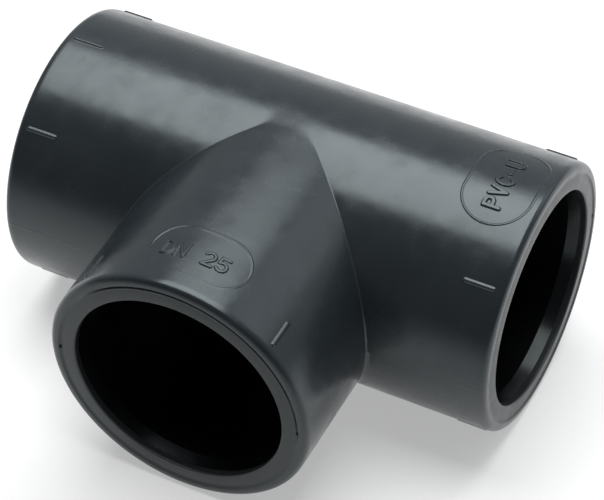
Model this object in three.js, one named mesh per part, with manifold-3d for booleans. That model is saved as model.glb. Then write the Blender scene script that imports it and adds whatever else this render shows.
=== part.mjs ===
// An equal 90 degree tee for solvent-cement PVC-U pressure pipe of 32 mm outside diameter.
//
// A tee like this is one injection moulding: three plain sockets on one hollow T-shaped body. It has
// no insert, ring seal, thread or moving piece, so the whole part is a single mesh, tee_body.
//
// Millimetres, +Z up. The main line runs along X and the branch along -Y. The tee lies flat, as it
// does on a bench, and the origin is on the bench under the middle of its footprint.
// The helpers below work in the moulding's own frame, whose origin is where the two axes cross.

import * as THREE from 'three';
import { mergeVertices } from 'three/addons/utils/BufferGeometryUtils.js';
import Module from 'manifold-3d';

// ---- Driving dimensions ----

// The socket that the pipe is cemented into. It opens through a short cone that leads the pipe in.
const SOCKET_DEPTH = 22;
const SOCKET_MOUTH_BORE = 32.3;
const SOCKET_ROOT_BORE = 32.1;
const LEAD_IN_DEPTH = 2.7;
const LEAD_IN_SLOPE = Math.PI / 12;

// The body between the sockets.
const CENTRE_TO_STOP = 17.5;
const THROUGH_BORE = 27.6;
const BARREL_OUTER = 41.7;

// The rim, where an end face turns into the barrel: a quarter of a superellipse, fuller than an
// ellipse, whose exponent would be 2.
const RIM_ALONG = 1.45;
const RIM_ACROSS = 1.45;
const RIM_EXPONENT = 2.8;

// Raised alignment ticks behind each rim.
const TICK_START = 1.6;
const TICK_LENGTH = 4.7;
const TICK_WIDTH = 0.8;
const TICK_TOP_WIDTH = 0.35;
const TICK_RELIEF = 0.3;

// Raised outlines that frame the size mark and the material mark. Each is a little off the top line.
const LABEL_LINE = 0.5;
const LABEL_RELIEF = 0.15;
const SIZE_LABEL = { width: 15.3, height: 8.9, behindFace: 7.8, aside: -0.45 };
const MATERIAL_LABEL = { width: 15.9, height: 10.6, behindFace: 6.85, aside: -0.35 };

// Facets.
const ROUND_STEPS = 48;
const RIM_STEPS = 6;
const LABEL_END_STEPS = 8;

// Distance by which a tool passes through a surface, so that no two faces lie on each other.
const OVERRUN = 2;

const BARREL_RADIUS = BARREL_OUTER / 2;
const FACE_DISTANCE = CENTRE_TO_STOP + SOCKET_DEPTH;

const QUARTER_TURN = Math.PI / 2;
const EIGHTH_TURN = Math.PI / 4;

// Turns that take a shape made along +Y, with its top at +Z, to each of the three sockets.
const SOCKETS = {
  right: new THREE.Matrix4().makeRotationZ(-QUARTER_TURN),
  left: new THREE.Matrix4().makeRotationZ(QUARTER_TURN),
  branch: new THREE.Matrix4().makeRotationZ(2 * QUARTER_TURN),
};

// Ticks stand at every eighth turn from the top, but not on the parting plane, which is level, and
// not where a label is. The number is how many eighth turns from the top.
const TICK_PLACES = {
  right: [1, 3, 4, 5, 7],
  left: [0, 1, 3, 4, 5, 7],
  branch: [1, 3, 4, 5, 7],
};

const wasm = await Module();
wasm.setup();

// ---- Solids ----

// A closed three.js geometry as a solid.
function toSolid(geometry) {
  const bare = geometry.clone();
  bare.deleteAttribute('normal');
  bare.deleteAttribute('uv');
  const merged = mergeVertices(bare, 1e-4);
  return new wasm.Manifold(new wasm.Mesh({
    numProp: 3,
    vertProperties: new Float32Array(merged.attributes.position.array),
    triVerts: new Uint32Array(merged.index.array),
  }));
}

// A solid as a three.js geometry with flat shading normals.
function toGeometry(solid) {
  const mesh = solid.getMesh();
  const geometry = new THREE.BufferGeometry();
  geometry.setAttribute('position', new THREE.BufferAttribute(mesh.vertProperties, 3));
  geometry.setIndex(new THREE.BufferAttribute(mesh.triVerts, 1));
  const flat = geometry.toNonIndexed();
  flat.computeVertexNormals();
  return flat;
}

// A solid of revolution about Y from [radius, along] pairs that start and end on the axis.
function turned(profile, placement) {
  const points = profile.map(([radius, along]) => new THREE.Vector2(radius, along));
  return toSolid(new THREE.LatheGeometry(points, ROUND_STEPS).applyMatrix4(placement));
}

// The rim's quarter superellipse, from the flat face out to the barrel.
function rimArc() {
  const power = 2 / RIM_EXPONENT;
  const arc = [];
  for (let step = 0; step <= RIM_STEPS; step += 1) {
    const angle = QUARTER_TURN * step / RIM_STEPS;
    const outward = step === 0 ? 0 : Math.sin(angle) ** power;
    const forward = step === RIM_STEPS ? 0 : Math.cos(angle) ** power;
    arc.push([
      BARREL_RADIUS - RIM_ACROSS * (1 - outward),
      FACE_DISTANCE - RIM_ALONG * (1 - forward),
    ]);
  }
  return arc;
}

// The run's outside, rim to rim, along Y before it is placed.
function runBarrel() {
  const upper = rimArc().reverse();
  const lower = rimArc().map(([radius, along]) => [radius, -along]);
  return turned([[0, -FACE_DISTANCE], ...lower, ...upper, [0, FACE_DISTANCE]], SOCKETS.right);
}

// The branch's outside, from the run's axis to its rim.
function branchBarrel() {
  const upper = rimArc().reverse();
  return turned([[0, 0], [BARREL_RADIUS, 0], ...upper, [0, FACE_DISTANCE]], SOCKETS.branch);
}

// One socket's inside, from its stop shoulder out past the face.
function socketSteps() {
  const bore = SOCKET_MOUTH_BORE / 2;
  const flare = (LEAD_IN_DEPTH + OVERRUN) * Math.tan(LEAD_IN_SLOPE);
  return [
    [THROUGH_BORE / 2, CENTRE_TO_STOP],
    [SOCKET_ROOT_BORE / 2, CENTRE_TO_STOP],
    [bore, FACE_DISTANCE - LEAD_IN_DEPTH],
    [bore + flare, FACE_DISTANCE + OVERRUN],
  ];
}

// The hollow of the run: both sockets and the way through between their stops.
function runHollow() {
  const upper = socketSteps();
  const lower = socketSteps().reverse().map(([radius, along]) => [radius, -along]);
  const end = FACE_DISTANCE + OVERRUN;
  return turned([[0, -end], ...lower, ...upper, [0, end]], SOCKETS.right);
}

// The hollow of the branch, from the run's axis to its mouth.
function branchHollow() {
  const end = FACE_DISTANCE + OVERRUN;
  return turned([[0, 0], [THROUGH_BORE / 2, 0], ...socketSteps(), [0, end]], SOCKETS.branch);
}

// A cylinder that reaches as high as the label outlines, over one whole barrel.
function labelLimit(placement) {
  const radius = BARREL_RADIUS + LABEL_RELIEF;
  return turned([[0, 0], [radius, 0], [radius, FACE_DISTANCE], [0, FACE_DISTANCE]], placement);
}

// ---- Raised features ----

// One tick: a bar of trapezoid section along the barrel, its foot buried in the wall.
function tick(placement, eighthTurns) {
  const top = BARREL_RADIUS + TICK_RELIEF;
  const foot = BARREL_RADIUS - TICK_RELIEF;
  const section = new THREE.Shape([
    new THREE.Vector2(-TICK_WIDTH / 2, foot),
    new THREE.Vector2(TICK_WIDTH / 2, foot),
    new THREE.Vector2(TICK_TOP_WIDTH / 2, top),
    new THREE.Vector2(-TICK_TOP_WIDTH / 2, top),
  ]);
  const bar = new THREE.ExtrudeGeometry(section, { depth: TICK_LENGTH, bevelEnabled: false });
  // The section is drawn in XY and extruded along Z. Here it is stood up: radial +Z, along +Y.
  bar.rotateX(QUARTER_TURN);
  bar.translate(0, FACE_DISTANCE - TICK_START, 0);
  bar.rotateY(eighthTurns * EIGHTH_TURN);
  return toSolid(bar.applyMatrix4(placement));
}

// A stadium outline across the barrel, centred on the origin of the XY plane.
function stadium(width, height) {
  const shape = new THREE.Shape();
  const radius = height / 2;
  const centre = width / 2 - radius;
  shape.absarc(centre, 0, radius, -QUARTER_TURN, QUARTER_TURN, false);
  shape.absarc(-centre, 0, radius, QUARTER_TURN, 3 * QUARTER_TURN, false);
  return shape;
}

// A raised stadium line on top of a barrel, cut to the barrel's curve.
function labelOutline(placement, { width, height, behindFace, aside }) {
  const outline = stadium(width, height);
  outline.holes.push(stadium(width - 2 * LABEL_LINE, height - 2 * LABEL_LINE));
  const wall = new THREE.ExtrudeGeometry(outline, {
    depth: BARREL_RADIUS,
    bevelEnabled: false,
    curveSegments: LABEL_END_STEPS,
  });
  wall.translate(aside, FACE_DISTANCE - behindFace, BARREL_RADIUS / 2);
  const upright = toSolid(wall.applyMatrix4(placement));
  return upright.intersect(labelLimit(placement));
}

// ---- The moulding ----

function teeBody() {
  let body = runBarrel().add(branchBarrel());
  for (const [socket, places] of Object.entries(TICK_PLACES)) {
    for (const place of places) {
      body = body.add(tick(SOCKETS[socket], place));
    }
  }
  body = body.add(labelOutline(SOCKETS.branch, SIZE_LABEL));
  body = body.add(labelOutline(SOCKETS.right, MATERIAL_LABEL));
  return body.subtract(runHollow()).subtract(branchHollow());
}

const pvcGrey = new THREE.MeshStandardMaterial({
  color: 0x24292c,
  roughness: 0.38,
  metalness: 0,
});

const body = new THREE.Mesh(toGeometry(teeBody()), pvcGrey);
body.name = 'tee_body';

// The footprint reaches from the branch face to the back of the run, and the tee rests on its
// lowest ticks.
body.position.set(0, (FACE_DISTANCE - BARREL_RADIUS) / 2, BARREL_RADIUS + TICK_RELIEF);

const tee = new THREE.Group();
tee.add(body);

export default tee;
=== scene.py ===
# The looks of an equal 90 degree PVC-U pipe tee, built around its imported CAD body.
#
# The CAD solid tee_body is one moulding, and one fine mesh stands for it here. The mesh is made of three
# arms, each a sheet that starts where the barrels meet, runs out along the barrel, round the rim, over the
# end face, down the socket and on to where the bores meet. Raised marks are heights on that sheet.

import math

import bmesh
import bpy
import numpy as np
from mathutils import Matrix, Vector


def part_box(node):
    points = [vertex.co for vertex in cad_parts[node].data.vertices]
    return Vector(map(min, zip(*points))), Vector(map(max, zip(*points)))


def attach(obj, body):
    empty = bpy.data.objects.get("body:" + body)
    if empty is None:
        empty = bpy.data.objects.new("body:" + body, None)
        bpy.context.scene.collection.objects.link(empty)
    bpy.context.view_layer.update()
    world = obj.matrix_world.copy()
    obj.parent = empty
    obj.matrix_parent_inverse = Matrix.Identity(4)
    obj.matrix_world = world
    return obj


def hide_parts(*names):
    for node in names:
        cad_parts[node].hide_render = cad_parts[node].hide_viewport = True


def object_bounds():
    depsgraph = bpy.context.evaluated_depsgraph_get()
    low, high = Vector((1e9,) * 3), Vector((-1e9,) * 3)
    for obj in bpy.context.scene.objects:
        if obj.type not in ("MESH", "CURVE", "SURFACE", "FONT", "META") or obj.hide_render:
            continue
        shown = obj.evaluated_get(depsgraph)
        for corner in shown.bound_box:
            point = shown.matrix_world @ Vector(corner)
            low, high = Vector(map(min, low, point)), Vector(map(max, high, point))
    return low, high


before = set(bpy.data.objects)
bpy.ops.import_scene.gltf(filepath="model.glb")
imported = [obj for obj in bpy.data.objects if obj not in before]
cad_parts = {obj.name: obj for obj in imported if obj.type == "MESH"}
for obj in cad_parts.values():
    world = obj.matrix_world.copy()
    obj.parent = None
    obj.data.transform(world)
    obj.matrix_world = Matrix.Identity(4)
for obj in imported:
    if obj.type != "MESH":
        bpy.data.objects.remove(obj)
cad_low, cad_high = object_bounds()

MM = 0.001

# ---- Sizes, in metres ----

NODE = "tee_body"
low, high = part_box(NODE)

RELIEF = 0.3 * MM                                   # height of the ticks
OUTER = (high.z - low.z) / 2 - RELIEF               # barrel radius
CREST = high.x                                      # from where the axes cross to the crest of each rim
CROSS = Vector((0, high.y - OUTER, (low.z + high.z) / 2))
FACE = CREST - 0.04 * MM                            # the end face at the mouth, a little behind the crest
FACE_DOME = 0.12 * MM                               # how far the face falls from the mouth to the crease

STOP = 17.5 * MM                                    # from where the axes cross to each pipe stop
ROOT = 16.05 * MM                                   # socket radius at the stop
SOCKET = 16.13 * MM                                 # socket radius where the lead-in cone ends
LIP = 16.62 * MM                                    # radius of the straight lip at the mouth
LIP_DEPTH = 1.1 * MM                                # depth below the crest where the lead-in cone starts
LEAD_IN_DEPTH = 2.95 * MM                           # and where it ends
MOUTH_ROUND = 0.28 * MM                             # rounding of the mouth's edge
BORE = 13.8 * MM                                    # throughway radius
CORNER = 0.3 * MM                                   # rounding of the stop's edges
RIM_ALONG = 1.45 * MM
RIM_ACROSS = 1.42 * MM
RIM_EXPONENT = 2.8                                  # fuller than an ellipse, whose exponent is 2

MOULD_LINE = 0.02 * MM                              # height of the parting line
BARREL = OUTER - MOULD_LINE                         # so that the parting line stays inside the CAD box
UPPER_BLEND = 0.3 * MM                              # fillet where the barrels meet, above the parting plane
LOWER_BLEND = 0.8 * MM                              # and below it
BORE_BLEND = 0.5 * MM
APEX_BLEND = 0.5 * MM                               # added to it where the two top lines meet
APEX_REACH = 5.5 * MM


# ---- Camera ----

VIEW_AZIMUTH = math.radians(27.26)
VIEW_ELEVATION = math.radians(45.28)
VIEW_ROLL = math.radians(-0.806)
VIEW_DISTANCE = 436.4 * MM
VIEW_RIGHT = 0.087 * MM                             # the lens looks this far to the right of CROSS
VIEW_UP = -5.244 * MM
LENS = 172.75                                       # in millimetres, as the sensor's width is
SENSOR = 36.0
NEAREST = 0.01
FARTHEST = 20


def make_camera():
    """Looks at the tee from the right of the branch, well above it."""
    back = Vector((
        math.sin(VIEW_AZIMUTH) * math.cos(VIEW_ELEVATION),
        -math.cos(VIEW_AZIMUTH) * math.cos(VIEW_ELEVATION),
        math.sin(VIEW_ELEVATION),
    ))
    level = Vector((math.cos(VIEW_AZIMUTH), math.sin(VIEW_AZIMUTH), 0))
    turn = Matrix.Rotation(VIEW_ROLL, 3, back)
    right = turn @ level
    up = turn @ back.cross(level)
    data = bpy.data.cameras.new("camera")
    data.lens = LENS
    data.sensor_width = SENSOR
    data.clip_start = NEAREST
    data.clip_end = FARTHEST
    camera = bpy.data.objects.new("camera", data)
    place = CROSS + back * VIEW_DISTANCE + right * VIEW_RIGHT + up * VIEW_UP
    camera.matrix_world = Matrix.Translation(place) @ Matrix((right, up, back)).transposed().to_4x4()
    bpy.context.scene.collection.objects.link(camera)
    bpy.context.scene.camera = camera


make_camera()


# ---- Raised marks ----

def arc(centre, size, start, end, steps=8):
    """Points on an ellipse's arc, from start to end in degrees."""
    angles = np.radians(np.linspace(start, end, steps + 1))
    return [(centre[0] + size[0] * math.cos(a), centre[1] + size[1] * math.sin(a)) for a in angles]


# Plain engraver's letters as strokes, in a cell that is 1 high.
GLYPH_WIDTH = 0.62
GLYPHS = {
    "D": [[(0, 0), (0, 1), (0.25, 1), *arc((0.25, 0.5), (0.37, 0.5), 90, -90), (0, 0)]],
    "N": [[(0, 0), (0, 1), (0.6, 0), (0.6, 1)]],
    "2": [[*arc((0.3, 0.7), (0.3, 0.3), 160, -35), (0, 0), (0.62, 0)]],
    "5": [[(0.56, 1), (0.08, 1), (0.03, 0.58), *arc((0.28, 0.33), (0.32, 0.33), 125, -150)]],
    "P": [[(0, 0), (0, 1), (0.3, 1), *arc((0.3, 0.74), (0.3, 0.26), 90, -90), (0, 0.48)]],
    "V": [[(0, 1), (0.31, 0), (0.62, 1)]],
    "C": [arc((0.34, 0.5), (0.32, 0.5), 45, 315, 12)],
    "-": [[(0.08, 0.45), (0.54, 0.45)]],
    "U": [[(0, 1), (0, 0.3), *arc((0.3, 0.3), (0.3, 0.3), 180, 360), (0.6, 1)]],
    " ": [],
}
LETTER_HEIGHT = 2.38 * MM
LETTER_PITCH = 0.9                                  # in letter heights
SHORTEST_STROKE = 0.01 * MM                         # what is shorter is left out
SHOULDER = 0.16 * MM                                # width of a raised edge's slope

# The marks on each arm. Places are given across from the top line, and back from the rim's crest.
TICK_START = 1.6 * MM
TICK_LENGTH = 4.7 * MM
TICK_HEIGHT = 0.2 * MM
TICK_HALF_WIDTH = 0.08 * MM
TICK_SHOULDER = 0.34 * MM
FRAME_HEIGHT = 0.1 * MM                             # height of the line that frames a label
FRAME_HALF_WIDTH = 0.06 * MM
FRAME_WEAR = 0.4                                    # how much of the wear is at the middle of the frame
LABELS = {
    "branch": {
        "text": "DN 25", "text_back": 7.4 * MM, "relief": 0.2 * MM, "stroke": 0.15 * MM,
        "back": 7.8 * MM, "aside": 0.45 * MM, "width": 15.6 * MM, "height": 8.9 * MM, "worn": 1.0,
    },
    "right": {
        "text": "PVC-U", "text_back": 6.9 * MM, "relief": 0.29 * MM, "stroke": 0.23 * MM,
        "back": 6.85 * MM, "aside": 0.35 * MM, "width": 16.2 * MM, "height": 10.3 * MM, "worn": 0.3,
    },
}
# Ticks are at these eighth turns from the top line.
TICK_EIGHTHS = {
    "right": (1, 3, 4, 5, 7),
    "left": (0, 1, 3, 4, 5, 7),
    "branch": (1, 3, 4, 5, 7),
}


def smooth(x):
    """0 below 0, 1 above 1, and an S curve between."""
    t = np.clip(x, 0, 1)
    return t * t * (3 - 2 * t)


def ridge(distance, half_width, shoulder=SHOULDER):
    """Cross-section of a raised line, from 1 on its flat top to 0 past its shoulder."""
    return 1 - smooth((distance - half_width) / shoulder)


def distance_to_segment(u, v, start, end):
    """Distance of each point from a straight stroke."""
    du, dv = end[0] - start[0], end[1] - start[1]
    t = np.clip(((u - start[0]) * du + (v - start[1]) * dv) / (du * du + dv * dv), 0, 1)
    return np.hypot(u - start[0] - t * du, v - start[1] - t * dv)


def distance_to_stadium(u, v, width, height):
    """Distance of each point from a stadium outline centred on the origin."""
    radius = height / 2
    straight = width / 2 - radius
    return np.abs(np.hypot(np.maximum(np.abs(u) - straight, 0), v) - radius)


def text_strokes(text, middle_back):
    """The text's strokes as segments in (across, back), centred on the top line."""
    pitch = LETTER_HEIGHT * LETTER_PITCH
    start = -(len(text) - 1) * pitch / 2 - GLYPH_WIDTH / 2 * LETTER_HEIGHT
    segments = []
    for number, letter in enumerate(text):
        for line in GLYPHS[letter]:
            points = [
                (start + number * pitch + x * LETTER_HEIGHT, middle_back + (y - 0.5) * LETTER_HEIGHT)
                for x, y in line
            ]
            segments += [(a, b) for a, b in zip(points, points[1:]) if math.dist(a, b) > SHORTEST_STROKE]
    return segments


def mark_height(arm, across, back):
    """Height of the raised marks over the barrel, for points given as arc length and depth."""
    height = np.zeros_like(across)
    turn = 2 * math.pi * OUTER
    for eighth in TICK_EIGHTHS[arm]:
        u = (across - turn * eighth / 8 + turn / 2) % turn - turn / 2
        d = distance_to_segment(u, back, (0, TICK_START + TICK_SHOULDER), (0, TICK_START + TICK_LENGTH))
        height = np.maximum(height, TICK_HEIGHT * ridge(d, TICK_HALF_WIDTH, TICK_SHOULDER))
    if arm in LABELS:
        label = LABELS[arm]
        near = np.abs(across) < label["width"]
        u, v = across[near], back[near]
        d = distance_to_stadium(u - label["aside"], v - label["back"], label["width"], label["height"])
        # The frame is worn down along its edge nearest the mouth.
        worn = label["worn"] * smooth(FRAME_WEAR + (label["back"] - v) / label["height"])
        here = FRAME_HEIGHT * (1 - worn) * ridge(d, FRAME_HALF_WIDTH)
        for start, end in text_strokes(label["text"], label["text_back"]):
            d = distance_to_segment(u, v, start, end)
            here = np.maximum(here, label["relief"] * ridge(d, label["stroke"]))
        height[near] = np.maximum(height[near], here)
    return height


# ---- The arm's profile ----

# The socket's and the bore's zones get near-black colours, which are painted shade.
BARREL_ZONE, FACE_ZONE, SOCKET_ZONE, BORE_ZONE = 0, 1, 2, 3


class Station:
    """One ring of the sheet. Its distance out from the crossing is along + seam * m, where m says how far
    the other barrel reaches at that angle, from 0 to 1, and its normal is in (radius, along)."""

    def __init__(self, radius, along, seam, normal, zone, crease=0.0, lean=0.0):
        self.radius = radius
        self.along = along
        self.seam = seam
        self.normal = normal
        self.zone = zone
        self.crease = crease                        # depth of the groove here, at its full strength
        self.lean = lean                            # and how far that groove tips the normal outwards


MARK_START = 13.1 * MM                              # marks stay closer to the crest than this
MARK_END = 0.999 * RIM_ALONG                        # and behind this, which keeps the rim's first ring
CREASE_DEPTH = 0.38 * MM
CREASE_WIDTH = 0.6 * MM
CONE_EDGE = 0.04 * MM                               # the cone's normals turn within this of its ends

# How the arm is cut into rings. The blends' rows are in millimetres from the seam.
BLEND_ROWS = [0, 0.12, 0.25, 0.4, 0.6, 0.85, 1.2, 1.7, 2.3, 3.0, 3.9, 5.0]
BARREL_ROWS = 10
MARK_ROWS = 13
RIM_ROWS = 12
CREASE_ROWS = 9
FACE_ROWS = 5
MOUTH_ROWS = 5
SOCKET_ROWS = 4
STOP_ROWS = 4
BORE_ROWS = 6
BORE_BLEND_ROWS = [1.6, 1.1, 0.75, 0.5, 0.3, 0.15, 0]


def corner_stations(normal_from, normal_to, zone, steps, centre, size):
    """A quarter circle, whose normal turns from one axis direction to the other. Below 0, it is hollow."""
    rings = []
    for step in range(steps + 1):
        t = math.pi / 2 * step / steps
        out = normal_from[0] * math.cos(t) + normal_to[0] * math.sin(t)
        along = normal_from[1] * math.cos(t) + normal_to[1] * math.sin(t)
        rings.append(Station(centre[0] + size * out, centre[1] + size * along, 0, (out, along), zone))
    return rings


def rim_stations(edge, start):
    """The rim's quarter superellipse, from the barrel to the crest."""
    power = 2 / RIM_EXPONENT
    slope_power = RIM_EXPONENT - 1
    rings = []
    for step in range(RIM_ROWS + 1):
        t = math.pi / 2 * step / RIM_ROWS
        x = 0 if step == RIM_ROWS else math.cos(t) ** power
        y = math.sin(t) ** power
        normal = Vector((x ** slope_power / RIM_ACROSS, y ** slope_power / RIM_ALONG)).normalized()
        rings.append(Station(edge + RIM_ACROSS * x, start + RIM_ALONG * y, 0, tuple(normal), BARREL_ZONE))
    return rings


def crease_stations(edge):
    """The step down from the rim's crest to the face, with a groove in it."""
    tiny = 1e-3

    def recess(x):
        """How far the surface has stepped down, from 0 at the crest to 1 at the face."""
        return (CREST - FACE + FACE_DOME) * smooth(x)

    def groove(x):
        """The groove's cross-section, 1 deep in its middle."""
        return math.sin(math.pi * min(max(x, 0), 1)) ** 2

    rings = []
    for step in range(1, CREASE_ROWS + 1):
        x = step / CREASE_ROWS
        step_slope = (recess(x + tiny) - recess(x - tiny)) / (2 * tiny * CREASE_WIDTH)
        groove_slope = CREASE_DEPTH * (groove(x + tiny) - groove(x - tiny)) / (2 * tiny * CREASE_WIDTH)
        rings.append(Station(
            edge - CREASE_WIDTH * x, CREST - recess(x), 0, (-step_slope, 1), FACE_ZONE,
            CREASE_DEPTH * groove(x), -groove_slope,
        ))
    return rings


def arm_stations():
    """All rings, from the outer seam out, over the end face and in to the inner seam."""
    out = (1, 0)
    mouthwards = (0, 1)
    inward = (-1, 0)
    rings = [Station(BARREL, offset * MM, BARREL, out, BARREL_ZONE) for offset in BLEND_ROWS]

    # Straight barrel, from the blend to where the marks start.
    last_offset = BLEND_ROWS[-1] * MM
    marks = CREST - MARK_START
    for step in range(1, BARREL_ROWS + 1):
        t = step / BARREL_ROWS
        along = (1 - t) * last_offset + t * marks
        rings.append(Station(BARREL, along, (1 - t) * BARREL, out, BARREL_ZONE))

    # Straight barrel with the marks.
    rim_start = CREST - RIM_ALONG
    for step in range(1, MARK_ROWS):
        along = marks + (rim_start - marks) * step / MARK_ROWS
        rings.append(Station(BARREL, along, 0, out, BARREL_ZONE))

    # Rim, crease and the end face, which is slightly domed.
    edge = BARREL - RIM_ACROSS
    rings += rim_stations(edge, rim_start)
    rings += crease_stations(edge)
    face_outer = edge - CREASE_WIDTH
    face_inner = LIP + MOUTH_ROUND
    face_width = face_outer - face_inner
    for step in range(FACE_ROWS - 1, 0, -1):
        t = step / FACE_ROWS
        normal = tuple(Vector((2 * t * FACE_DOME / face_width, 1)).normalized())
        rings.append(Station(face_inner + face_width * t, FACE - FACE_DOME * t * t, 0, normal, FACE_ZONE))

    # Rounded mouth, straight lip and lead-in cone.
    mouth_centre = (face_inner, FACE - MOUTH_ROUND)
    rings += corner_stations(mouthwards, inward, FACE_ZONE, MOUTH_ROWS, mouth_centre, MOUTH_ROUND)
    rings.append(Station(LIP, CREST - LIP_DEPTH, 0, inward, SOCKET_ZONE))
    slope = (LIP - SOCKET) / (LEAD_IN_DEPTH - LIP_DEPTH)
    cone = tuple(Vector((-1, slope)).normalized())
    for depth in (LIP_DEPTH + CONE_EDGE, LEAD_IN_DEPTH - CONE_EDGE):
        rings.append(Station(SOCKET + slope * (LEAD_IN_DEPTH - depth), CREST - depth, 0, cone, SOCKET_ZONE))
    rings.append(Station(SOCKET, CREST - LEAD_IN_DEPTH, 0, inward, BORE_ZONE))

    # Socket wall, stop shoulder and throughway.
    for step in range(1, SOCKET_ROWS):
        t = step / SOCKET_ROWS
        along = (1 - t) * (CREST - LEAD_IN_DEPTH) + t * STOP
        rings.append(Station(SOCKET + (ROOT - SOCKET) * t, along, 0, inward, BORE_ZONE))
    outer_centre = (ROOT - CORNER, STOP + CORNER)
    inner_centre = (BORE + CORNER, STOP - CORNER)
    rings += corner_stations(inward, mouthwards, BORE_ZONE, STOP_ROWS, outer_centre, -CORNER)
    rings.append(Station((ROOT + BORE) / 2, STOP, 0, mouthwards, BORE_ZONE))
    rings += corner_stations(mouthwards, inward, BORE_ZONE, STOP_ROWS, inner_centre, CORNER)

    # Throughway, in to the inner seam.
    bore_start = STOP - CORNER
    for step in range(1, BORE_ROWS):
        t = step / BORE_ROWS
        along = (1 - t) * bore_start + t * BORE_BLEND_ROWS[0] * MM
        rings.append(Station(BORE, along, t * BORE, inward, BORE_ZONE))
    rings += [Station(BORE, offset * MM, BORE, inward, BORE_ZONE) for offset in BORE_BLEND_ROWS]
    return rings


# ---- From sheet coordinates to space ----

COLUMNS = 144                                       # coarse cells round an arm
FINE = 10                                           # fine cells in a coarse one
ROUND = COLUMNS * FINE
ARM_TURN = {"branch": 0, "right": math.pi / 2, "left": -math.pi / 2}
BLEND_STEPS = 4                                     # steps in moving a point to the rounded join
BLEND_CHANGE = 0.3 * MM                             # height over which the fillet's size changes
APEX_START = 1.5 * MM                               # the apex's wide blend grows in over this length
TINY = 1e-9                                         # keeps divisions away from zero
PARTING_SIGMA = 0.11 * MM                           # half width of the parting line
NICK = 1.5                                          # in depths of the crease
NICK_SIGMA = 0.34 * MM
CREASE_UNEVEN = 0.18                                # how much the crease's depth varies along it
CREASE_FADE = math.radians(14)
# Each arm's crease: its middle and half its span, as angles from the top line, and how deep it is.
CREASES = {
    "branch": (math.radians(24), math.radians(70), 1.0),
    "right": (math.radians(130), math.radians(85), 0.25),
    "left": (math.radians(-130), math.radians(85), 0.25),
}


def seam_reach(arm, angle):
    """How far the other barrel reaches along this one, from 0 to 1, at each angle from the top line."""
    reach = np.sin(angle)
    if arm == "branch":
        return np.abs(reach)
    front = -1 if arm == "right" else 1
    return np.maximum(front * reach, 0)


def outer_blend(height):
    """The fillet's size at each height over the parting plane."""
    return LOWER_BLEND + (UPPER_BLEND - LOWER_BLEND) * smooth(0.5 + height / BLEND_CHANGE)


def apex_blend(p):
    """Extra fillet size round the place where the two top lines meet."""
    away = (p[:, 0] ** 2 + p[:, 1] ** 2) / APEX_REACH ** 2
    return APEX_BLEND * np.exp(-away ** 2) * smooth(-p[:, 1] / APEX_START) * (p[:, 2] > 0)


def blended(points, radius, blend, apex=False):
    """Moves points on two crossing cylinders to a rounded join of the two, and returns them with the normals
    that point away from the axes. The run lies along X and the branch along -Y."""
    front = points[:, 1] < 0
    p = points.copy()
    run_normal = np.zeros_like(p)
    gradient = np.zeros_like(p)
    for _ in range(BLEND_STEPS):
        run_radius = np.hypot(p[:, 1], p[:, 2])
        branch_radius = np.hypot(p[:, 0], p[:, 2])
        run_normal = np.stack([0 * p[:, 0], p[:, 1] / run_radius, p[:, 2] / run_radius], 1)
        branch_normal = np.stack([p[:, 0], 0 * p[:, 1], p[:, 2]], 1)
        branch_normal /= np.maximum(branch_radius, TINY)[:, None]
        size = blend * (1 - (run_normal * branch_normal).sum(1)) + apex * apex_blend(p)
        size = np.maximum(size, TINY)
        d_run, d_branch = run_radius - radius, branch_radius - radius
        share = np.clip(0.5 + 0.5 * (d_branch - d_run) / size, 0, 1)
        value = share * d_run + (1 - share) * d_branch - size * share * (1 - share)
        gradient = share[:, None] * run_normal + (1 - share[:, None]) * branch_normal
        steepness = np.maximum((gradient ** 2).sum(1), TINY)
        p = np.where(front[:, None], p - gradient * (value / steepness)[:, None], points)
    normals = np.where(front[:, None], gradient, run_normal)
    return p, normals / np.linalg.norm(normals, axis=1)[:, None]


def parting(angle, sigma=PARTING_SIGMA):
    """Cross-section of the parting line, which lies level on both sides."""
    across = (np.abs((angle % (2 * math.pi)) - math.pi) - math.pi / 2) * OUTER
    return np.exp(-(across / sigma) ** 2)


def crease_strength(arm, angle):
    """How deep the groove is at each angle: uneven along its span, with a nick on the parting plane."""
    middle, half_span, depth = CREASES[arm]
    away = np.abs((angle - middle + math.pi) % (2 * math.pi) - math.pi)
    span = smooth((half_span - away) / CREASE_FADE + 0.5)
    uneven = 1 - CREASE_UNEVEN + CREASE_UNEVEN * np.sin(7 * angle) * np.sin(12 * angle + 1)
    return np.maximum(depth * span * uneven, NICK * parting(angle, NICK_SIGMA))


def across_from_top(angle):
    """Arc length from the top line, at each angle from it."""
    return (angle + math.pi) % (2 * math.pi) * OUTER - math.pi * OUTER


def mark_slopes(arm, across, back):
    """Height of the raised marks and its slopes, across and back."""
    step = 0.02 * MM
    rise_across = mark_height(arm, across + step, back) - mark_height(arm, across - step, back)
    rise_back = mark_height(arm, across, back + step) - mark_height(arm, across, back - step)
    return mark_height(arm, across, back), rise_across / (2 * step), rise_back / (2 * step)


def parting_line(angle, fade):
    """Height of the parting line over the barrel, and its slope across."""
    step = 1e-4
    slope = (parting(angle + step) - parting(angle - step)) / (2 * step * OUTER)
    return MOULD_LINE * parting(angle) * fade, slope * MOULD_LINE * fade


def profile_at(rings, row):
    """The stations' values at each fine row, on straight lines between stations, and each row's zone."""
    whole = np.minimum(row // FINE, len(rings) - 2)
    t = (row / FINE - whole)[:, None]
    table = np.array([(r.radius, r.along, r.seam, *r.normal, r.crease, r.lean) for r in rings])
    zone = np.array([r.zone for r in rings])[whole]
    return (*(table[whole] * (1 - t) + table[whole + 1] * t).T, zone)


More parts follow.
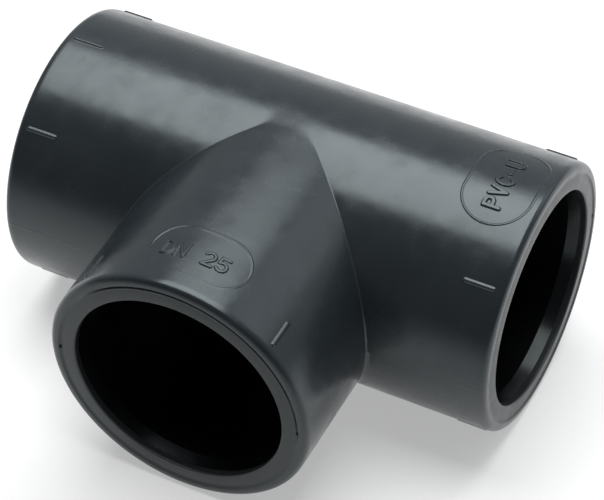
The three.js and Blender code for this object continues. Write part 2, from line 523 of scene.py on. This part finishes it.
def sheet_points(arm, rings, column, row):
    """Positions and normals, in the tee's own frame, of points given in fine columns and fine rows."""
    angle = 2 * math.pi * column / ROUND
    radius, along, seam, normal_out, normal_along, crease, lean, zone = profile_at(rings, row)
    grooved = crease_strength(arm, angle)
    along = along + seam * seam_reach(arm, angle) - crease * grooved
    normal_out = normal_out + lean * grooved

    radial = np.stack([np.sin(angle), 0 * angle, np.cos(angle)], 1)
    around = np.stack([np.cos(angle), 0 * angle, -np.sin(angle)], 1)
    out = np.array([0.0, -1.0, 0.0])
    p = radial * radius[:, None] + out * along[:, None]
    n = radial * normal_out[:, None] + out * normal_along[:, None]
    n /= np.linalg.norm(n, axis=1)[:, None]

    # Raised marks, with normals from their slopes.
    back = CREST - along
    marked = (zone == BARREL_ZONE) & (back < MARK_START) & (back > MARK_END)
    height, slope_across, slope_back = mark_slopes(arm, across_from_top(angle)[marked], back[marked])
    p[marked] += n[marked] * height[:, None]
    n[marked] += -around[marked] * slope_across[:, None] + out * slope_back[:, None]

    # The parting line grows in from the seam, runs the length of the barrel and fades out over the rim.
    fade = np.clip(row / FINE / (len(BLEND_ROWS) - 1), 0, 1) * np.clip(normal_out, 0, 1)
    fade *= zone == BARREL_ZONE
    line, slope = parting_line(angle, fade)
    p += radial * line[:, None]
    n -= around * slope[:, None]

    turn = np.array(Matrix.Rotation(ARM_TURN[arm], 3, "Z"))
    return p @ turn.T, (n / np.linalg.norm(n, axis=1)[:, None]) @ turn.T


# ---- The mesh ----

CELL_SAMPLES = 7                                    # places looked at across a coarse cell, to find marks
SEAM_GAP = 1e-7                                     # vertices that are closer than this are one


def fine_cells(arm, rings):
    """Which coarse cells are split, as two masks: those split both ways, and those split across only."""
    rows = len(rings) - 1
    both = np.zeros((COLUMNS, rows), bool)
    across_only = np.zeros((COLUMNS, rows), bool)
    middle_angle = 2 * math.pi * (np.arange(COLUMNS) + 0.5) / COLUMNS
    across = across_from_top(middle_angle)
    back = CREST - np.array([(a.along + b.along) / 2 for a, b in zip(rings, rings[1:])])
    marked = np.array([
        a.zone == BARREL_ZONE and a.seam == 0 and b.seam == 0 and a.radius == BARREL and b.radius == BARREL
        for a, b in zip(rings, rings[1:])
    ])
    # A coarse cell is split both ways if a mark rises anywhere in it.
    cell = 2 * math.pi * OUTER / COLUMNS
    row_length = np.array([a.along - b.along for a, b in zip(rings, rings[1:])])
    samples = np.linspace(-0.5, 0.5, CELL_SAMPLES)
    for row in np.flatnonzero(marked):
        u = across[:, None, None] + samples[None, :, None] * cell
        v = back[row] + samples[None, None, :] * row_length[row]
        both[:, row] = mark_height(arm, *np.broadcast_arrays(u, v)).max(axis=(1, 2)) > 0
    # The cells on both sides of the parting plane are split across, for its line and nicks.
    outside = np.array([a.zone == BARREL_ZONE or a.crease > 0 for a in rings[:-1]])
    for side in (1, 3):
        for column in (side * COLUMNS // 4 - 1, side * COLUMNS // 4):
            across_only[column] |= outside
    return both, across_only & ~both


def sheet_faces(both, across_only):
    """Vertex keys and faces of one arm's sheet in fine (column, row) coordinates. A coarse cell beside split
    ones takes their extra vertices on its edges, so that no gap opens."""
    columns, rows = both.shape
    exists = np.zeros((columns * FINE, rows * FINE + 1), bool)
    cells = []
    for column in range(columns):
        for row in range(rows):
            split_across = FINE if both[column, row] or across_only[column, row] else 1
            split_along = FINE if both[column, row] else 1
            width, length = FINE // split_across, FINE // split_along
            for i in range(split_across):
                for j in range(split_along):
                    c, r = column * FINE + i * width, row * FINE + j * length
                    cells.append((c, r, width, length, row))
                    for corner_column in (c, c + width):
                        exists[corner_column % exists.shape[0], r] = True
                        exists[corner_column % exists.shape[0], r + length] = True

    faces, owners = [], []
    for c, r, width, length, row in cells:
        loop = [(c, r + j) for j in range(length)]
        loop += [(c + i, r + length) for i in range(width)]
        loop += [(c + width, r + length - j) for j in range(length)]
        loop += [(c + width - i, r) for i in range(width)]
        loop = [(x % exists.shape[0], y) for x, y in loop]
        faces.append([key for key in loop if exists[key]])
        owners.append(row)
    return exists, faces, owners


def round_seams(rings, row, points, normals):
    """Rounds the joins where the barrels meet and where the bores meet, in place."""
    outer_rows = row <= FINE * (len(BLEND_ROWS) - 1)
    fillet = outer_blend(points[outer_rows, 2])
    points[outer_rows], normals[outer_rows] = blended(points[outer_rows], BARREL, fillet, apex=True)
    inner_rows = row >= FINE * (len(rings) - len(BORE_BLEND_ROWS))
    points[inner_rows], outward = blended(points[inner_rows], BORE, BORE_BLEND)
    normals[inner_rows] = -outward


def add_arm(bm, normal_layer, arm, rings):
    """Adds one arm's sheet to the mesh, with a normal for each vertex."""
    exists, faces, owners = sheet_faces(*fine_cells(arm, rings))
    column, row = np.nonzero(exists)
    points, normals = sheet_points(arm, rings, column, row)
    round_seams(rings, row, points, normals)
    made = {}
    for key_column, key_row, point, normal in zip(column, row, points, normals):
        vertex = bm.verts.new(Vector(point) + CROSS)
        vertex[normal_layer] = Vector(normal)
        made[key_column, key_row] = vertex
    for keys, owner in zip(faces, owners):
        face = bm.faces.new([made[key] for key in keys])
        face.smooth = True
        face.material_index = rings[owner].zone


def build_tee():
    """The whole moulding as one closed mesh, whose arms are joined along their seams."""
    rings = arm_stations()
    bm = bmesh.new()
    normal_layer = bm.verts.layers.float_vector.new("moulded_normal")
    for arm in ARM_TURN:
        add_arm(bm, normal_layer, arm, rings)
    bmesh.ops.remove_doubles(bm, verts=bm.verts, dist=SEAM_GAP)
    mesh = bpy.data.meshes.new("tee_moulding")
    bm.to_mesh(mesh)
    bm.free()
    stored = np.zeros(len(mesh.vertices) * 3, np.float32)
    mesh.attributes["moulded_normal"].data.foreach_get("vector", stored)
    mesh.normals_split_custom_set_from_vertices(stored.reshape(-1, 3))
    mesh.attributes.remove(mesh.attributes["moulded_normal"])
    tee = bpy.data.objects.new("tee_moulding", mesh)
    bpy.context.scene.collection.objects.link(tee)
    return tee


# ---- Materials ----

def new_material(name):
    """A material with its nodes, its links and its shader."""
    material = bpy.data.materials.new(name)
    material.use_nodes = True
    nodes = material.node_tree.nodes
    links = material.node_tree.links
    return material, nodes, links, nodes["Principled BSDF"]


def noise(nodes, links, place, scale, detail, roughness=0.5):
    """A noise texture over the object's own coordinates."""
    texture = nodes.new("ShaderNodeTexNoise")
    texture.inputs["Scale"].default_value = scale
    texture.inputs["Detail"].default_value = detail
    texture.inputs["Roughness"].default_value = roughness
    links.new(place, texture.inputs["Vector"])
    return texture.outputs["Fac"]


def remap(nodes, links, source, low_value, high_value, from_low=0.3, from_high=0.7):
    """The source's range, by default a noise's middle range, as a number between two limits."""
    node = nodes.new("ShaderNodeMapRange")
    node.inputs["From Min"].default_value = from_low
    node.inputs["From Max"].default_value = from_high
    node.inputs["To Min"].default_value = low_value
    node.inputs["To Max"].default_value = high_value
    links.new(source, node.inputs["Value"])
    return node.outputs["Result"]


def multiplied(nodes, links, first, second):
    """The product of two numbers."""
    node = nodes.new("ShaderNodeMath")
    node.operation = "MULTIPLY"
    links.new(first, node.inputs[0])
    links.new(second, node.inputs[1])
    return node.outputs["Value"]


def bumped(nodes, links, height, strength, distance, below=None):
    """The normal with a height added to it, on top of another such normal if there is one."""
    node = nodes.new("ShaderNodeBump")
    node.inputs["Strength"].default_value = strength
    node.inputs["Distance"].default_value = distance
    links.new(height, node.inputs["Height"])
    if below is not None:
        links.new(below, node.inputs["Normal"])
    return node.outputs["Normal"]


PVC_IOR = 1.53
SHEEN = (0.86, 0.975, 1.0, 1)                       # the grey's gloss is faintly cold

# The surface's unevenness, as noises: repeats per metre, levels of detail, and how rough the detail is.
STREAKS = (60, 5, 0.6)
PATCHES = (280, 5, 0.6)
WAVES = (150, 2)
FLOW_MARKS = (450, 4, 0.6)
GRAIN = (5000, 3)
WAVE_STRENGTH = 0.3
WAVE_HEIGHT = 0.05 * MM
FLOW_HEIGHT = 0.012 * MM
GRAIN_HEIGHT = 0.004 * MM

# The look of each zone, in the order of the zones' numbers: two colours, the roughness of glossy and of
# matt patches, the strength of the grain, and the specular level. The socket's and the bore's near-black
# colours are painted shade: the plastic is the barrel's, darkened to stand for the shade deep in the bores.
ZONE_LOOKS = {
    "pvc_barrel": {
        "dark": (0.0135, 0.0175, 0.0205), "light": (0.019, 0.0235, 0.027),
        "gloss": 0.17, "matt": 0.31, "grain": 0.15, "shine": 0.5,
    },
    "pvc_end_face": {
        "dark": (0.018, 0.0195, 0.0205), "light": (0.0235, 0.025, 0.026),
        "gloss": 0.3, "matt": 0.4, "grain": 0.3, "shine": 0.4,
    },
    # painted shade: near-black colours standing for the shade in the lip and the lead-in cone
    "pvc_socket_painted_shade": {
        "dark": (0.0012, 0.0014, 0.0017), "light": (0.002, 0.0024, 0.003),
        "gloss": 0.2, "matt": 0.28, "grain": 0.15, "shine": 0.3,
    },
    # painted shade: near-black colours standing for the shade in the socket wall, the stop and the
    # throughway
    "pvc_bore_painted_shade": {
        "dark": (0.001, 0.0012, 0.0015), "light": (0.002, 0.0023, 0.0028),
        "gloss": 0.45, "matt": 0.6, "grain": 0.15, "shine": 0.06,
    },
}


def moulded_pvc(name, dark, light, gloss, matt, grain, shine):
    """Dark grey PVC-U: slight streaks in its colour, patchy gloss, faint waves, flow marks and grain. For
    the socket and the bore, the near-black colours are painted shade.
    """
    material, nodes, links, shader = new_material(name)
    shader.inputs["IOR"].default_value = PVC_IOR
    shader.inputs["Specular IOR Level"].default_value = shine
    shader.inputs["Specular Tint"].default_value = SHEEN
    place = nodes.new("ShaderNodeTexCoord").outputs["Object"]

    streaks = noise(nodes, links, place, *STREAKS)
    mix = nodes.new("ShaderNodeMix")
    mix.data_type = "RGBA"
    mix.inputs["A"].default_value = (*dark, 1)
    mix.inputs["B"].default_value = (*light, 1)
    links.new(remap(nodes, links, streaks, 0, 1), mix.inputs["Factor"])
    links.new(mix.outputs["Result"], shader.inputs["Base Color"])

    patches = noise(nodes, links, place, *PATCHES)
    links.new(remap(nodes, links, patches, gloss, matt), shader.inputs["Roughness"])

    waves = bumped(nodes, links, noise(nodes, links, place, *WAVES), WAVE_STRENGTH, WAVE_HEIGHT)
    flow = bumped(nodes, links, noise(nodes, links, place, *FLOW_MARKS), 1, FLOW_HEIGHT, waves)
    fine = bumped(nodes, links, noise(nodes, links, place, *GRAIN), grain, GRAIN_HEIGHT, flow)
    links.new(fine, shader.inputs["Normal"])
    return material


# ---- Studio ----

ROOM_COLOUR = (0.94, 0.97, 1.0, 1)
ROOM_LIGHT = (0.12, 0.6)                            # the room's brightness in front of the tee and behind it
ROOM_CHANGE = (-0.5, 0.9)                           # the directions' Y between which it changes
FLOOR_HALF = 1.5
FLOOR_ROUGHNESS = 0.9
FLOOR_CLOUDS = (8, 2)                               # a noise, as the surface's are
FLOOR_SHADE = (0.59, 0.61)                          # the floor's lightness varies between these
FLOOR_GLOW = 0.4                                    # painted light: the floor glows with this strength, as if it were lit from below as well
FLOOR_PAINTED_FALLOFF = (-0.18, -0.025)                         # painted shade: it gets darker between these, towards the front, where the light falls away
FLOOR_FRONT = 0.3                                   # down to this share of its lightness


def make_floor():
    """A plain pale floor under the tee, with painted shade that darkens its colour and its glow towards the
    front.
    """
    material, nodes, links, shader = new_material("pale_floor")
    place = nodes.new("ShaderNodeTexCoord").outputs["Object"]
    shade = remap(nodes, links, noise(nodes, links, place, *FLOOR_CLOUDS), *FLOOR_SHADE)
    position = nodes.new("ShaderNodeSeparateXYZ")
    links.new(place, position.inputs["Vector"])
    # painted shade: the floor's lightness falls off towards the front
    painted_falloff = remap(nodes, links, position.outputs["Y"], FLOOR_FRONT, 1, *FLOOR_PAINTED_FALLOFF)
    lightness = multiplied(nodes, links, shade, painted_falloff)
    colour = nodes.new("ShaderNodeCombineColor")
    for channel in ("Red", "Green", "Blue"):
        links.new(lightness, colour.inputs[channel])
    links.new(colour.outputs["Color"], shader.inputs["Base Color"])
    shader.inputs["Roughness"].default_value = FLOOR_ROUGHNESS
    shader.inputs["Emission Color"].default_value = (1, 1, 1, 1)
    # the painted glow fades towards the front with the same painted shade
    glow = remap(nodes, links, painted_falloff, 0, FLOOR_GLOW, 0, 1)
    links.new(glow, shader.inputs["Emission Strength"])
    mesh = bpy.data.meshes.new("floor")
    corners = [(x * FLOOR_HALF, y * FLOOR_HALF, 0) for x, y in ((-1, -1), (1, -1), (1, 1), (-1, 1))]
    mesh.from_pydata(corners, [], [(0, 1, 2, 3)])
    floor = bpy.data.objects.new("floor", mesh)
    floor.location.z = cad_low.z
    mesh.materials.append(material)
    bpy.context.scene.collection.objects.link(floor)


def softbox(name, place, source, size, radiance):
    """A rectangular lamp at a place measured from where the axes cross. Its light comes from the source's
    direction."""
    data = bpy.data.lights.new(name, "AREA")
    data.shape = "RECTANGLE"
    data.size, data.size_y = size
    data.energy = math.pi * radiance * size[0] * size[1]
    lamp = bpy.data.objects.new(name, data)
    lamp.location = CROSS + Vector(place)
    lamp.rotation_mode = "QUATERNION"
    lamp.rotation_quaternion = Vector(source).to_track_quat("Z", "Y")
    bpy.context.scene.collection.objects.link(lamp)


def make_world():
    """A pale room, lighter behind the tee than in front of it."""
    world = bpy.data.worlds.new("studio")
    world.use_nodes = True
    nodes, links = world.node_tree.nodes, world.node_tree.links
    direction = nodes.new("ShaderNodeSeparateXYZ")
    links.new(nodes.new("ShaderNodeTexCoord").outputs["Generated"], direction.inputs["Vector"])
    background = nodes["Background"]
    background.inputs["Color"].default_value = ROOM_COLOUR
    strength = remap(nodes, links, direction.outputs["Y"], *ROOM_LIGHT, *ROOM_CHANGE)
    links.new(strength, background.inputs["Strength"])
    bpy.context.scene.world = world


make_world()
make_floor()
softbox("overhead_softbox", place=(-0.14, 0.255, 1.0), source=(0, 0, 1), size=(0.92, 0.97), radiance=5.3)
softbox("side_softbox", place=(0.55, 0.6, 0.6), source=(0.55, 0.6, 0.6), size=(0.5, 0.45), radiance=0.8)
bpy.context.scene.view_settings.view_transform = "Standard"

tee = build_tee()
for look_name, look in ZONE_LOOKS.items():
    tee.data.materials.append(moulded_pvc(look_name, **look))
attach(tee, "root")
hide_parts(NODE)
